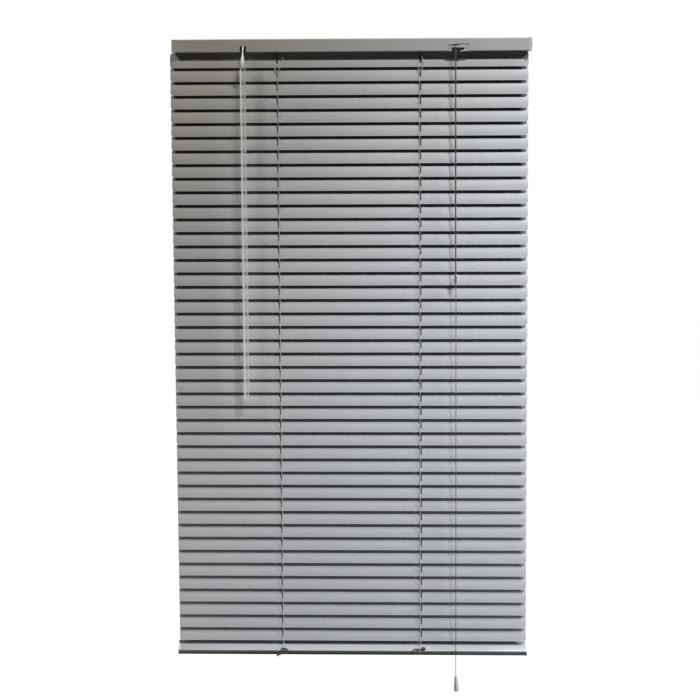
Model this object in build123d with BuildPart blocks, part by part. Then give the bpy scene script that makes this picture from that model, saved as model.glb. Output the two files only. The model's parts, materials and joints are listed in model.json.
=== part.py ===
from build123d import *
from math import cos, pi, radians, sin
import os

# Venetian blind with 25 mm slats: headrail with its tilt mechanism and cord lock, 44 slats on ladder
# cords, bottom rail, tilt wand, lift cords and tassel.
#
# Frame: +X to the right, +Y to the wall, +Z up. The origin is the centre of the headrail's back face.
# The slats hang closed, with their front edges down.

# Headrail, an upright channel that is open at the top
RAIL_WIDTH = 576.0
RAIL_DEPTH = 25.0
RAIL_HEIGHT = 21.0
RAIL_WALL = 0.7
RAIL_LIP = 3.6
RAIL_CORNER = 1.6
CAP_FLANGE = 2.0
CAP_PLUG = 7.0
CAP_GAP = 0.05
PLUG_PLAY = 0.3
CHANNEL_LENGTH = RAIL_WIDTH - 2 * CAP_FLANGE - 2 * CAP_GAP

# Slats
SLAT_COUNT = 44
SLAT_PITCH = 22.0
SLAT_LENGTH = 576.0
SLAT_WIDTH = 25.0
SLAT_SHEET = 0.24
SLAT_CROWN = 1.3
SLAT_CORNER = 4.5
CLOSED_ANGLE = 73.0
SLAT_X = -4.4
AXIS_Y = -RAIL_DEPTH / 2
FIRST_SLAT_Z = -RAIL_HEIGHT / 2 - 12.5
LAST_SLAT_Z = FIRST_SLAT_Z - (SLAT_COUNT - 1) * SLAT_PITCH

# Ladders and the route holes that the lift cords pass
LADDER_X = (-119.7, 110.3)
LADDER_FRONT_SHIFT = (0.8, -1.2)
LADDER_RADIUS = 15.1
LADDER_CORD = 0.9
ROUTE_LENGTH = 13.0
ROUTE_WIDTH = 2.6
LIFT_HOLE_LENGTH = 12.0
LADDER_HOLE_LENGTH = 8.0
FLOOR_HOLE_WIDTH = 4.4
LADDER_HOLE_OFFSET = 8.0

# Bottom rail
BOTTOM_LENGTH = 580.0
BOTTOM_X = -4.7
BOTTOM_WIDTH = 25.0
BOTTOM_HEIGHT = 8.6
BOTTOM_WALL = 0.8
BOTTOM_CORNER = 4.0
BOTTOM_ANGLE = 28.0
BOTTOM_Z = LAST_SLAT_Z - 25.0
BOTTOM_CAP = 3.0
BOTTOM_CAP_RIM = 0.4
BOTTOM_PLUG = 8.0
BUTTON_HOLE_RADIUS = 4.0

# Tilt rod with its drums and cradles
ROD_Z = 1.0
ROD_FLATS = 6.0
ROD_LEFT = -186.5
ROD_RIGHT = 126.5
BORE_FLATS = 6.2
DRUM_RADIUS = 6.5
DRUM_FLANGE_RADIUS = 7.2
DRUM_WIDTH = 14.0
HUB_RADIUS = 4.4
HUB_LENGTH = 21.0
DRUM_RIM = 1.0
DRUM_MIDDLE_RIM = 1.6
BEARING_RADIUS = HUB_RADIUS + 0.3
CRADLE_LENGTH = 24.0
CRADLE_DEPTH = 21.0
CRADLE_WALL = 2.0
CRADLE_BASE = 0.9
CORD_WINDOW = (14.0, 3.3)

# Tilter: a worm on a stem that leans out of the headrail's front, and a gear on the tilt rod
TILTER_X = -173.6
STEM_TIP_Y = -33.5
STEM_TIP_Z = -20.5
STEM_LEAN = 27.5
STEM_RADIUS = 1.25
STEM_BALL_RADIUS = 2.2
STEM_PLAY = 0.3
ARCH_WIDTH = 10.2
ARCH_TOP = 0.2
ARCH_CORNER = 3.2
WORM_START = 25.5
WORM_END = 32.5
WORM_RADIUS = 2.6
GEAR_TEETH = 10
GEAR_TIP_RADIUS = 5.9
GEAR_ROOT_RADIUS = 4.7
GEAR_WIDTH = 7.0
HOUSING_WIDTH = 20.0
HOUSING_DEPTH = 22.0
HOUSING_HEIGHT = 19.3
HOUSING_CORNER = 1.5

# Wand and its clear sleeve
SLEEVE_TOP_Z = STEM_TIP_Z + 1.4
SLEEVE_BOTTOM_Z = STEM_TIP_Z - 10.5
SLEEVE_RADIUS = 3.4
SLEEVE_BORE = 2.6
WAND_FLATS = 7.0
WAND_TOP_Z = -37.0
WAND_BOTTOM_Z = -573.0
WAND_CAP_RADIUS = 4.6

# Cord lock
LOCK_LEFT = 155.7
LOCK_RIGHT = 188.7
LOCK_OPENING = (160.5, 183.7)
LOCK_OPENING_TOP = -0.4
LOCK_TOP = 0.9
LOCK_FACE = 1.2
LOCK_SHELF = (26.0, 5.0, 1.2)
LOCK_SHELF_Z = -3.7
LOCK_HOLE = (27.0, 11.0)
CHEEK = (14.0, 13.8, 1.2)
CHEEK_OFFSET = 5.6
CHEEK_Y = -17.0
CHEEK_Z = 1.5
ROLLER_SLOT = (4.4, 2.0)
ROLLER_SLOT_ANGLE = 42.0
ROLLER_RADIUS = 2.5
ROLLER_LENGTH = 8.2
PIN_RADIUS = 0.8
PIN_LENGTH = 11.2
ROLLER_Y = -19.5
ROLLER_Z = 1.05

# Lift cords: the stretch inside the blind, and the free stretch below the cord lock
CORD = 1.2
CORD_RUN_Z = -7.6
CORD_EXIT = (167.5, -23.4, -2.2)
CORD_SPACING = 1.4
CORD_HANG_Y = -27.4
KNOT_Z = -374.0
TASSEL_TOP_Z = -1035.5
TASSEL_LENGTH = 27.5
TASSEL_TOP_RADIUS = 2.5
TASSEL_BOTTOM_RADIUS = 4.3
TASSEL_LEAN = 3.0

os.makedirs("parts", exist_ok=True)


def save(shape, name):
    """Write one node."""
    shape.label = name
    export_step(shape, f"parts/{name}.step")


def leaning_plane(x, z, angle):
    """The plane of a slat or rail whose front edge hangs down by an angle: local Y runs to its rear edge."""
    lean = radians(angle)
    return Plane(origin=(x, AXIS_Y, z), x_dir=(1, 0, 0), z_dir=(0, -sin(lean), cos(lean)))


def section_plane(plane, shift=0.0):
    """The plane square to X through another plane's origin, with its local X along that plane's local Y."""
    return Plane(origin=plane.origin + Vector(shift, 0, 0), x_dir=plane.y_dir, z_dir=(1, 0, 0))


def stem_point(distance):
    """A point on the tilter stem's axis, this far up from the centre of its ball."""
    lean = radians(STEM_LEAN)
    return Vector(
        TILTER_X,
        STEM_TIP_Y + distance * sin(lean),
        STEM_TIP_Z + distance * cos(lean),
    )


def stem_plane(distance):
    """The plane square to the stem's axis at a distance up from its ball."""
    lean = radians(STEM_LEAN)
    return Plane(origin=stem_point(distance), x_dir=(1, 0, 0), z_dir=(0, sin(lean), cos(lean)))


def make_headrail():
    channel_plane = Plane.YZ.offset(-CHANNEL_LENGTH / 2)
    with BuildPart() as channel:
        with BuildSketch(channel_plane):
            with Locations((AXIS_Y, 0)):
                RectangleRounded(RAIL_DEPTH, RAIL_HEIGHT, RAIL_CORNER)
                RectangleRounded(
                    RAIL_DEPTH - 2 * RAIL_WALL,
                    RAIL_HEIGHT - 2 * RAIL_WALL,
                    RAIL_CORNER - RAIL_WALL,
                    mode=Mode.SUBTRACT,
                )
            with Locations((AXIS_Y, RAIL_HEIGHT / 2)):
                Rectangle(RAIL_DEPTH - 2 * RAIL_LIP, 4 * RAIL_WALL, mode=Mode.SUBTRACT)
        extrude(amount=CHANNEL_LENGTH)
        # arch for the tilter stem, cut through the front's lower edge and the floor beside it
        with BuildSketch(Plane.XZ.offset(RAIL_DEPTH + 1)):
            with Locations((TILTER_X, ARCH_TOP - RAIL_HEIGHT / 2)):
                RectangleRounded(ARCH_WIDTH, RAIL_HEIGHT, ARCH_CORNER)
        extrude(amount=-6.0, mode=Mode.SUBTRACT)
        # opening for the cord lock in the front
        with BuildSketch(Plane.XZ.offset(RAIL_DEPTH + 1)):
            with Locations(((LOCK_LEFT + LOCK_RIGHT) / 2, -LOCK_HOLE[1] / 2)):
                Rectangle(*LOCK_HOLE)
        extrude(amount=-3.0, mode=Mode.SUBTRACT)
        # holes in the floor: one for each lift cord, and two for each ladder
        with BuildSketch(Plane.XY.offset(-RAIL_HEIGHT / 2 - 1)):
            for x in LADDER_X:
                with Locations((x, AXIS_Y)):
                    SlotOverall(LIFT_HOLE_LENGTH, FLOOR_HOLE_WIDTH)
                with Locations((x, AXIS_Y - LADDER_HOLE_OFFSET), (x, AXIS_Y + LADDER_HOLE_OFFSET)):
                    SlotOverall(LADDER_HOLE_LENGTH, FLOOR_HOLE_WIDTH)
        extrude(amount=3.0, mode=Mode.SUBTRACT)

    with BuildPart() as caps:
        for side in (-1, 1):
            outside = Plane.YZ.offset(side * RAIL_WIDTH / 2)
            with BuildSketch(outside):
                with Locations((AXIS_Y, 0)):
                    RectangleRounded(RAIL_DEPTH, RAIL_HEIGHT, RAIL_CORNER)
            extrude(amount=-side * CAP_FLANGE)
            with BuildSketch(Plane.YZ.offset(side * (RAIL_WIDTH / 2 - CAP_FLANGE))):
                with Locations((AXIS_Y, -1)):
                    Rectangle(
                        RAIL_DEPTH - 2 * RAIL_WALL - PLUG_PLAY,
                        RAIL_HEIGHT - 2 * RAIL_WALL - 2 - PLUG_PLAY,
                    )
                    Rectangle(19.0, 13.0, mode=Mode.SUBTRACT)
            extrude(amount=-side * CAP_PLUG)
    save(Compound(children=[channel.part, *caps.part.solids()]), "headrail")


def make_bottom_rail():
    plane = leaning_plane(BOTTOM_X, BOTTOM_Z, BOTTOM_ANGLE)
    tube_length = BOTTOM_LENGTH - 2 * BOTTOM_CAP - 2 * CAP_GAP
    with BuildPart() as tube:
        with BuildSketch(section_plane(plane, -tube_length / 2)):
            RectangleRounded(BOTTOM_WIDTH, BOTTOM_HEIGHT, BOTTOM_CORNER)
            RectangleRounded(
                BOTTOM_WIDTH - 2 * BOTTOM_WALL,
                BOTTOM_HEIGHT - 2 * BOTTOM_WALL,
                BOTTOM_CORNER - BOTTOM_WALL,
                mode=Mode.SUBTRACT,
            )
        extrude(amount=tube_length)
        # holes that the lift cords enter through
        with BuildSketch(plane):
            with Locations(*[(x - BOTTOM_X, 0) for x in LADDER_X]):
                SlotOverall(9.0, 4.0, rotation=90)
        extrude(amount=BOTTOM_HEIGHT, mode=Mode.SUBTRACT)
        # holes in the underside for the buttons that hold the ladder ends
        with BuildSketch(plane):
            with Locations(*[(x - BOTTOM_X, 0) for x in LADDER_X]):
                Circle(BUTTON_HOLE_RADIUS)
        extrude(amount=-BOTTOM_HEIGHT, mode=Mode.SUBTRACT)

    with BuildPart() as caps:
        for side in (-1, 1):
            with BuildSketch(section_plane(plane, side * BOTTOM_LENGTH / 2)):
                RectangleRounded(
                    BOTTOM_WIDTH + 2 * BOTTOM_CAP_RIM,
                    BOTTOM_HEIGHT + 2 * BOTTOM_CAP_RIM,
                    BOTTOM_CORNER + BOTTOM_CAP_RIM,
                )
            extrude(amount=-side * BOTTOM_CAP)
            with BuildSketch(section_plane(plane, side * (BOTTOM_LENGTH / 2 - BOTTOM_CAP))):
                RectangleRounded(
                    BOTTOM_WIDTH - 2 * BOTTOM_WALL - PLUG_PLAY,
                    BOTTOM_HEIGHT - 2 * BOTTOM_WALL - PLUG_PLAY,
                    BOTTOM_CORNER - BOTTOM_WALL - PLUG_PLAY / 2,
                )
            extrude(amount=-side * BOTTOM_PLUG)
    save(Compound(children=[tube.part, *caps.part.solids()]), "bottom_rail")


def make_slats():
    """Thin sheets, curved across their width, with rounded corners and two route holes each."""
    plane = leaning_plane(SLAT_X, FIRST_SLAT_Z, CLOSED_ANGLE)
    half_width = SLAT_WIDTH / 2
    half_sheet = SLAT_SHEET / 2
    with BuildPart() as slat:
        with BuildSketch(section_plane(plane)):
            with BuildLine():
                under = ThreePointArc(
                    (-half_width, -half_sheet),
                    (0, SLAT_CROWN - half_sheet),
                    (half_width, -half_sheet),
                )
                over = ThreePointArc(
                    (-half_width, half_sheet),
                    (0, SLAT_CROWN + half_sheet),
                    (half_width, half_sheet),
                )
                Line(under @ 0, over @ 0)
                Line(under @ 1, over @ 1)
            make_face()
        extrude(amount=SLAT_LENGTH / 2, both=True)
        with BuildSketch(plane.offset(-1)):
            RectangleRounded(SLAT_LENGTH, SLAT_WIDTH, SLAT_CORNER)
            with Locations(*[(x - SLAT_X, 0) for x in LADDER_X]):
                SlotOverall(ROUTE_LENGTH, ROUTE_WIDTH, rotation=90, mode=Mode.SUBTRACT)
        extrude(amount=4.0, mode=Mode.INTERSECT)
    for number in range(1, SLAT_COUNT + 1):
        drop = Location((0, 0, -(number - 1) * SLAT_PITCH))
        save(slat.part.moved(drop), f"slat_{number:02d}")


def make_ladders():
    """The upright cords of both ladders: the front ones hang low and the rear ones high while closed."""
    reach_y = LADDER_RADIUS * cos(radians(CLOSED_ANGLE))
    reach_z = LADDER_RADIUS * sin(radians(CLOSED_ANGLE))
    uprights = {
        "ladder_front_cords": (AXIS_Y - reach_y, FIRST_SLAT_Z - reach_z - 2.5, LAST_SLAT_Z - reach_z - 1.5),
        "ladder_rear_cords": (AXIS_Y + reach_y, -RAIL_HEIGHT / 2 - 0.6, LAST_SLAT_Z + reach_z - 1.5),
    }
    shifts = {"ladder_front_cords": LADDER_FRONT_SHIFT, "ladder_rear_cords": (0.0, 0.0)}
    for name, (y, top, bottom) in uprights.items():
        with BuildPart() as cords:
            with BuildSketch(Plane.XY.offset(bottom)):
                with Locations(*[(x + shift, y) for x, shift in zip(LADDER_X, shifts[name])]):
                    Circle(LADDER_CORD / 2)
            extrude(amount=top - bottom)
        save(cords.part, name)


def make_tilt_rod():
    with BuildPart() as rod:
        with BuildSketch(Plane.YZ.offset(ROD_LEFT)):
            with Locations((AXIS_Y, ROD_Z)):
                RegularPolygon(ROD_FLATS / 2, 6, major_radius=False)
        extrude(amount=ROD_RIGHT - ROD_LEFT)
    save(rod.part, "tilt_rod")


def make_rod_wheels():
    """What turns with the tilt rod: a drum above each ladder, and the tilter's gear."""
    with BuildPart() as drums:
        for x in LADDER_X:
            for length, radius in (
                (HUB_LENGTH, HUB_RADIUS),
                (DRUM_WIDTH, DRUM_RADIUS),
                (DRUM_MIDDLE_RIM, DRUM_FLANGE_RADIUS),
            ):
                with BuildSketch(Plane.YZ.offset(x)):
                    with Locations((AXIS_Y, ROD_Z)):
                        Circle(radius)
                extrude(amount=length / 2, both=True)
            for side in (-1, 1):
                with BuildSketch(Plane.YZ.offset(x + side * DRUM_WIDTH / 2)):
                    with Locations((AXIS_Y, ROD_Z)):
                        Circle(DRUM_FLANGE_RADIUS)
                extrude(amount=-side * DRUM_RIM)
            with BuildSketch(Plane.YZ.offset(x)):
                with Locations((AXIS_Y, ROD_Z)):
                    RegularPolygon(BORE_FLATS / 2, 6, major_radius=False)
            extrude(amount=HUB_LENGTH, both=True, mode=Mode.SUBTRACT)

    with BuildPart() as gear:
        with BuildSketch(Plane.YZ.offset(TILTER_X)):
            with Locations((AXIS_Y, ROD_Z)):
                Circle(GEAR_ROOT_RADIUS)
                with PolarLocations(GEAR_ROOT_RADIUS, GEAR_TEETH, start_angle=18):
                    Trapezoid(1.5, 2 * (GEAR_TIP_RADIUS - GEAR_ROOT_RADIUS), 75, rotation=-90)
        extrude(amount=GEAR_WIDTH / 2, both=True)
        with BuildSketch(Plane.YZ.offset(TILTER_X)):
            with Locations((AXIS_Y, ROD_Z)):
                Circle(HUB_RADIUS)
        extrude(amount=HOUSING_WIDTH / 2 + 1.0, both=True)
        with BuildSketch(Plane.YZ.offset(TILTER_X)):
            with Locations((AXIS_Y, ROD_Z)):
                RegularPolygon(BORE_FLATS / 2, 6, major_radius=False)
        extrude(amount=HOUSING_WIDTH, both=True, mode=Mode.SUBTRACT)
    save(Compound(children=[*drums.part.solids(), gear.part]), "rod_drums_and_gear")


def make_cradles():
    """A cradle under each drum, on the headrail's floor, with a way through for the lift cords."""
    floor = -RAIL_HEIGHT / 2 + RAIL_WALL + 0.05
    with BuildPart() as cradles:
        for x in LADDER_X:
            with BuildSketch(Plane.XY.offset(floor)):
                with Locations((x, AXIS_Y)):
                    RectangleRounded(CRADLE_LENGTH, CRADLE_DEPTH, 2.0)
                    SlotOverall(LIFT_HOLE_LENGTH, FLOOR_HOLE_WIDTH, mode=Mode.SUBTRACT)
                with Locations((x, AXIS_Y - LADDER_HOLE_OFFSET), (x, AXIS_Y + LADDER_HOLE_OFFSET)):
                    SlotOverall(LADDER_HOLE_LENGTH, FLOOR_HOLE_WIDTH - 0.4, mode=Mode.SUBTRACT)
            extrude(amount=CRADLE_BASE)
            for side in (-1, 1):
                outside = x + side * HUB_LENGTH / 2
                with BuildSketch(Plane.YZ.offset(outside)):
                    with Locations((AXIS_Y, (floor + ROD_Z) / 2)):
                        Rectangle(CRADLE_DEPTH, ROD_Z - floor)
                    with Locations((AXIS_Y, ROD_Z)):
                        Circle(BEARING_RADIUS, mode=Mode.SUBTRACT)
                    with Locations((AXIS_Y - 1, floor + CRADLE_BASE + CORD_WINDOW[1] / 2)):
                        Rectangle(*CORD_WINDOW, mode=Mode.SUBTRACT)
                extrude(amount=-side * CRADLE_WALL)
    save(Compound(children=cradles.part.solids()), "drum_cradles")


def make_tilter():
    floor = -RAIL_HEIGHT / 2 + RAIL_WALL + 0.1
    with BuildPart() as housing:
        with BuildSketch(Plane.XY.offset(floor)):
            with Locations((TILTER_X, AXIS_Y)):
                RectangleRounded(HOUSING_WIDTH, HOUSING_DEPTH, HOUSING_CORNER)
        extrude(amount=HOUSING_HEIGHT)
        # room for the gear, its hubs, the worm and the stem
        for length, radius in ((GEAR_WIDTH + 1.0, GEAR_TIP_RADIUS + 0.5), (30.0, BEARING_RADIUS)):
            with BuildSketch(Plane.YZ.offset(TILTER_X)):
                with Locations((AXIS_Y, ROD_Z)):
                    Circle(radius)
            extrude(amount=length / 2, both=True, mode=Mode.SUBTRACT)
        for start, end, radius in (
            (WORM_START - STEM_PLAY, WORM_END + STEM_PLAY, WORM_RADIUS + STEM_PLAY),
            (10.0, WORM_START, STEM_RADIUS + STEM_PLAY),
        ):
            with BuildSketch(stem_plane(start)):
                Circle(radius)
            extrude(amount=end - start, mode=Mode.SUBTRACT)
    save(housing.part, "tilter_housing")

    with BuildPart() as stem:
        with BuildSketch(stem_plane(0)):
            Circle(STEM_RADIUS)
        extrude(amount=WORM_END)
        with BuildSketch(stem_plane(WORM_START)):
            Circle(WORM_RADIUS)
        extrude(amount=WORM_END - WORM_START)
        with Locations(stem_point(0)):
            Sphere(STEM_BALL_RADIUS)
    save(stem.part, "tilter_stem")


def make_wand():
    with BuildPart() as sleeve:
        with BuildSketch(Plane.XY.offset(SLEEVE_BOTTOM_Z)):
            with Locations((TILTER_X, STEM_TIP_Y)):
                Circle(SLEEVE_RADIUS)
                Circle(SLEEVE_BORE, mode=Mode.SUBTRACT)
        extrude(amount=SLEEVE_TOP_Z - SLEEVE_BOTTOM_Z)
    save(sleeve.part, "wand_sleeve")

    with BuildPart() as wand:
        with BuildSketch(Plane.XY.offset(WAND_BOTTOM_Z)):
            with Locations((TILTER_X, STEM_TIP_Y)):
                RegularPolygon(WAND_FLATS / 2, 6, major_radius=False)
        extrude(amount=WAND_TOP_Z - WAND_BOTTOM_Z)
        with BuildSketch(Plane.XY.offset(WAND_TOP_Z - 2.0)):
            with Locations((TILTER_X, STEM_TIP_Y)):
                Circle(WAND_CAP_RADIUS)
        extrude(amount=SLEEVE_BOTTOM_Z - 0.3 - WAND_TOP_Z + 2.0)
        with BuildSketch(Plane.XY.offset(WAND_TOP_Z)):
            with Locations((TILTER_X, STEM_TIP_Y)):
                Circle(SLEEVE_BORE - 0.3)
        extrude(amount=STEM_TIP_Z - STEM_BALL_RADIUS - 0.5 - WAND_TOP_Z)
    save(wand.part, "wand")


def make_cord_lock():
    floor = -RAIL_HEIGHT / 2
    middle_x = (LOCK_LEFT + LOCK_RIGHT) / 2
    width = LOCK_RIGHT - LOCK_LEFT
    opening_width = LOCK_OPENING[1] - LOCK_OPENING[0]
    opening_x = sum(LOCK_OPENING) / 2
    front = RAIL_DEPTH + LOCK_FACE
    cord_x = CORD_EXIT[0] - CORD_SPACING / 2
    with BuildPart() as frame:
        # face on the headrail's front, open at its lower edge
        with BuildSketch(Plane.XZ.offset(front)):
            with Locations((middle_x, (floor + LOCK_TOP) / 2)):
                RectangleRounded(width, LOCK_TOP - floor, 1.5)
            with Locations((opening_x, (floor + LOCK_OPENING_TOP) / 2)):
                Rectangle(opening_width, LOCK_OPENING_TOP - floor, mode=Mode.SUBTRACT)
        extrude(amount=-LOCK_FACE)
        # shelf through the headrail's opening, under the cords' way out
        with BuildSketch(Plane.XZ.offset(front)):
            with Locations((middle_x, LOCK_SHELF_Z)):
                Rectangle(LOCK_SHELF[0], LOCK_SHELF[2])
        extrude(amount=-LOCK_SHELF[1])
        # two cheeks that carry the roller
        for side in (-1, 1):
            with BuildSketch(Plane.YZ.offset(cord_x + side * CHEEK_OFFSET)):
                with Locations((CHEEK_Y, CHEEK_Z)):
                    RectangleRounded(CHEEK[0], CHEEK[1], 1.0)
                with Locations(Location((ROLLER_Y + 0.9, ROLLER_Z + 0.8), ROLLER_SLOT_ANGLE)):
                    SlotOverall(*ROLLER_SLOT, mode=Mode.SUBTRACT)
            extrude(amount=-side * CHEEK[2])
        # rear bridge between the cheeks
        with BuildSketch(Plane.XZ.offset(12.0)):
            with Locations((cord_x, 6.0)):
                Rectangle(2 * CHEEK_OFFSET, 3.0)
        extrude(amount=-1.4)
    save(frame.part, "cord_lock_frame")

    with BuildPart() as roller:
        with BuildSketch(Plane.YZ.offset(cord_x)):
            with Locations((ROLLER_Y, ROLLER_Z)):
                Circle(ROLLER_RADIUS)
        extrude(amount=ROLLER_LENGTH / 2, both=True)
        with BuildSketch(Plane.YZ.offset(cord_x)):
            with Locations((ROLLER_Y, ROLLER_Z)):
                Circle(PIN_RADIUS)
        extrude(amount=PIN_LENGTH / 2, both=True)
    save(roller.part, "cord_lock_roller")


def cord_tube(points, radii):
    """A round cord along straight runs joined by tangent arcs."""
    with BuildPart() as tube:
        with BuildLine():
            route = FilletPolyline(*points, radius=radii)
        with BuildSketch(Plane(origin=route @ 0, z_dir=route % 0)):
            Circle(CORD / 2)
        sweep(path=route)
    section = pi * CORD**2 / 4
    print("cord length", round(route.length, 1), "radii", radii)
    print("volume over section times length", round(tube.part.volume / (section * route.length), 4))
    return tube.part


def make_lift_cords():
    """Each lift cord runs up through its slats' route holes and along the headrail to the cord lock."""
    exit_x, exit_y, exit_z = CORD_EXIT
    bottom = BOTTOM_Z + 0.5
    right = cord_tube(
        [
            (LADDER_X[1], AXIS_Y, bottom),
            (LADDER_X[1], AXIS_Y, CORD_RUN_Z),
            (163.5, -13.8, CORD_RUN_Z),
            (exit_x, -15.0, exit_z),
            (exit_x, exit_y, exit_z),
        ],
        [3.6, 6.9, 3.8],
    )
    left = cord_tube(
        [
            (LADDER_X[0], AXIS_Y, bottom),
            (LADDER_X[0], AXIS_Y, CORD_RUN_Z),
            (162.5, -16.5, CORD_RUN_Z),
            (exit_x - CORD_SPACING, -17.5, exit_z),
            (exit_x - CORD_SPACING, exit_y, exit_z),
        ],
        [3.6, 6.2, 3.0],
    )
    save(Compound(children=[left, right]), "lift_cords")


def make_pull_cord():
    """The free stretch: both cords over the lock's face and down to their knot, then one to the tassel."""
    exit_x, exit_y, exit_z = CORD_EXIT
    runs = ((exit_x, TASSEL_TOP_Z + 0.05), (exit_x - CORD_SPACING, KNOT_Z))
    cords = [
        cord_tube([(x, exit_y, exit_z), (x, CORD_HANG_Y, exit_z), (x, CORD_HANG_Y, bottom)], [1.8])
        for x, bottom in runs
    ]
    save(Compound(children=cords), "pull_cord")

    lean = radians(TASSEL_LEAN)
    top = Plane(
        origin=(exit_x, CORD_HANG_Y, TASSEL_TOP_Z),
        x_dir=(cos(lean), 0, sin(lean)),
        z_dir=(-sin(lean), 0, cos(lean)),
    )
    with BuildPart() as tassel:
        with BuildSketch(top):
            Circle(TASSEL_TOP_RADIUS)
        with BuildSketch(top.offset(-TASSEL_LENGTH)):
            Circle(TASSEL_BOTTOM_RADIUS)
        loft()
    save(tassel.part, "tassel")


make_headrail()
make_bottom_rail()
make_slats()
make_ladders()
make_tilt_rod()
make_rod_wheels()
make_cradles()
make_tilter()
make_wand()
make_cord_lock()
make_lift_cords()
make_pull_cord()
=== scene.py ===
import json
from math import cos, pi, radians, sin, sqrt

import bmesh
import bpy
from mathutils import Matrix, Vector


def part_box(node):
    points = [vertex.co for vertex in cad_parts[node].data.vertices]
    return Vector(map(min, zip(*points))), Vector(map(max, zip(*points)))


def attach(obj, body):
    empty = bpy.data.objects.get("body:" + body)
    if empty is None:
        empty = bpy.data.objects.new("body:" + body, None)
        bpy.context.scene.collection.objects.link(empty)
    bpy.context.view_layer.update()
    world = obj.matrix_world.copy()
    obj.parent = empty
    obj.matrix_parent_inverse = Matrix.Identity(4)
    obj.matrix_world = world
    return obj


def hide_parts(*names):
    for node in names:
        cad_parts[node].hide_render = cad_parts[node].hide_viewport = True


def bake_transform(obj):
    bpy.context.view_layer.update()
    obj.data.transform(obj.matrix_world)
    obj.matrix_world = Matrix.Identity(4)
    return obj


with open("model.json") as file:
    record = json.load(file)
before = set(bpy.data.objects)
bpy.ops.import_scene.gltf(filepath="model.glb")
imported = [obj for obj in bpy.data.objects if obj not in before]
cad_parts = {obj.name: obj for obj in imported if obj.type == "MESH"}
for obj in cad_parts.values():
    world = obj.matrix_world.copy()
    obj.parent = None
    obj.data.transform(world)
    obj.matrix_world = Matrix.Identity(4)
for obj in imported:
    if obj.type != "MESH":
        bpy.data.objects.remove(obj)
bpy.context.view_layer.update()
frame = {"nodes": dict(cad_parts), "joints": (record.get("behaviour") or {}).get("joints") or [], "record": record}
record = frame["record"]
bodies = record["behaviour"]["bodies"]
joints = {joint["name"]: joint for joint in frame["joints"]}
slat_names = sorted(name for name in bodies if name.startswith("slat_"))

# ---------------------------------------------------------------- sizes, in metres
CLOSED = radians(73.0)
SLAT_HALF = 0.0125
SLAT_CROWN = 0.0013
SLAT_SHEET = 0.00024
SLAT_CORNER = 0.0045
SLOT_HALF_LENGTH = 0.0065
SLOT_HALF_WIDTH = 0.0013
LADDER_RADIUS = 0.0151
CORD_DIAMETER = 0.0012
LADDER_CORD_RADIUS = 0.00045
LADDER_STRAND_RADIUS = 0.0005
RUNG_RADIUS = 0.00055
RUNG_SPREAD = 0.00090
KNOT_RADIUS = 0.0014
DRUM_RADIUS = 0.0069
DRUM_WRAPS = (-0.0045, -0.0032, 0.0032, 0.0045)
STEM_LEAN = radians(27.5)
THREAD_START, THREAD_LENGTH, THREAD_RADIUS = 0.0256, 0.0068, 0.0027
THREAD_TURNS = 4
BOTTOM_LEAN = radians(28)
BOTTOM_CAP_LENGTH = 0.0030

low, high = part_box("slat_01")
slat_x = (low.x + high.x) / 2
slat_half_length = (high.x - low.x) / 2
axis_y = joints["slat_01_tilt"]["pos_m"][1]
axis_z = {name: joints[name + "_tilt"]["pos_m"][2] for name in slat_names}
low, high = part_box("ladder_front_cords")
front_x = (low.x + LADDER_CORD_RADIUS, high.x - LADDER_CORD_RADIUS)
front_y = (low.y + high.y) / 2
front_top, front_bottom = high.z, low.z
low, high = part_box("ladder_rear_cords")
ladder_x = (low.x + LADDER_CORD_RADIUS, high.x - LADDER_CORD_RADIUS)
rear_y = (low.y + high.y) / 2
rear_top, rear_bottom = high.z, low.z


# ---------------------------------------------------------------- materials
def material(
    name, color, rough, metallic=0.0, tint=0.04, grain=400.0, bump=0.02, stretch=(1, 1, 1), **sockets
):
    """A surface whose colour and roughness vary a little with a noise in object space, with a fine bump."""
    mat = bpy.data.materials.new(name)
    mat.use_nodes = True
    nodes, links = mat.node_tree.nodes, mat.node_tree.links
    shader = nodes["Principled BSDF"]
    shader.inputs["Metallic"].default_value = metallic
    for socket, value in sockets.items():
        shader.inputs[socket.replace("_", " ")].default_value = value
    coords = nodes.new("ShaderNodeTexCoord")
    mapping = nodes.new("ShaderNodeMapping")
    mapping.inputs["Scale"].default_value = stretch
    noise = nodes.new("ShaderNodeTexNoise")
    noise.inputs["Scale"].default_value = grain
    noise.inputs["Detail"].default_value = 4.0
    ramp = nodes.new("ShaderNodeValToRGB")
    ramp.color_ramp.elements[0].position = 0.3
    ramp.color_ramp.elements[1].position = 0.7
    ramp.color_ramp.elements[0].color = (*[c * (1 - tint) for c in color], 1)
    ramp.color_ramp.elements[1].color = (*[min(1, c * (1 + tint)) for c in color], 1)
    spread = nodes.new("ShaderNodeMapRange")
    spread.inputs["To Min"].default_value = rough * 0.92
    spread.inputs["To Max"].default_value = min(1, rough * 1.08)
    bumps = nodes.new("ShaderNodeBump")
    bumps.inputs["Strength"].default_value = bump
    bumps.inputs["Distance"].default_value = 0.0002
    links.new(coords.outputs["Object"], mapping.inputs["Vector"])
    links.new(mapping.outputs["Vector"], noise.inputs["Vector"])
    links.new(noise.outputs["Fac"], ramp.inputs["Fac"])
    links.new(ramp.outputs["Color"], shader.inputs["Base Color"])
    links.new(noise.outputs["Fac"], spread.inputs["Value"])
    links.new(spread.outputs["Result"], shader.inputs["Roughness"])
    links.new(noise.outputs["Fac"], bumps.inputs["Height"])
    links.new(bumps.outputs["Normal"], shader.inputs["Normal"])
    return mat


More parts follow.
